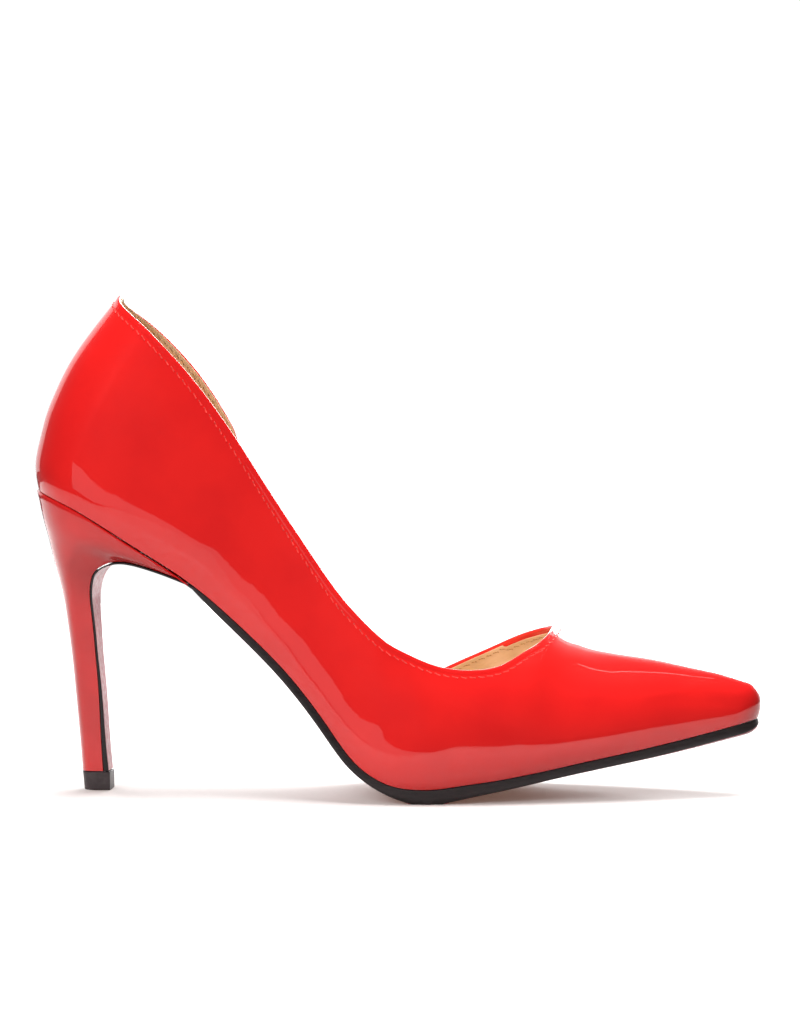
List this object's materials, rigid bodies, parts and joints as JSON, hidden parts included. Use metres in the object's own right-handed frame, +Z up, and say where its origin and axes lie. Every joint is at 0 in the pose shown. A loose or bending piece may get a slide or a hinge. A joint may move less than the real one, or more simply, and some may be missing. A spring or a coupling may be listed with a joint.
{
  "type": "patent leather pump",
  "caption": "Pointed-toe patent leather pump for the right foot, with the medial quarter cut away, on a slim covered high heel.",
  "frame": {"origin": "on the floor, under the middle of the shoe's box", "axes": "+X towards the toe, +Y towards the medial side, +Z up"},
  "size_m": [0.235, 0.0752, 0.1605],
  "materials": {
    "patent_upper": "high gloss lacquered patent",
    "outsole": "satin, dark painted edge",
    "heel_cover": "high gloss lacquered patent",
    "heel_tip": "matt black",
    "insole_sock": "soft matt beige lining"
  },
  "bodies": {
    "root": {"upper": "patent_upper", "outsole": "outsole", "heel": "heel_cover", "heel_tip": "heel_tip", "insole": "insole_sock"}
  },
  "joints": []
}
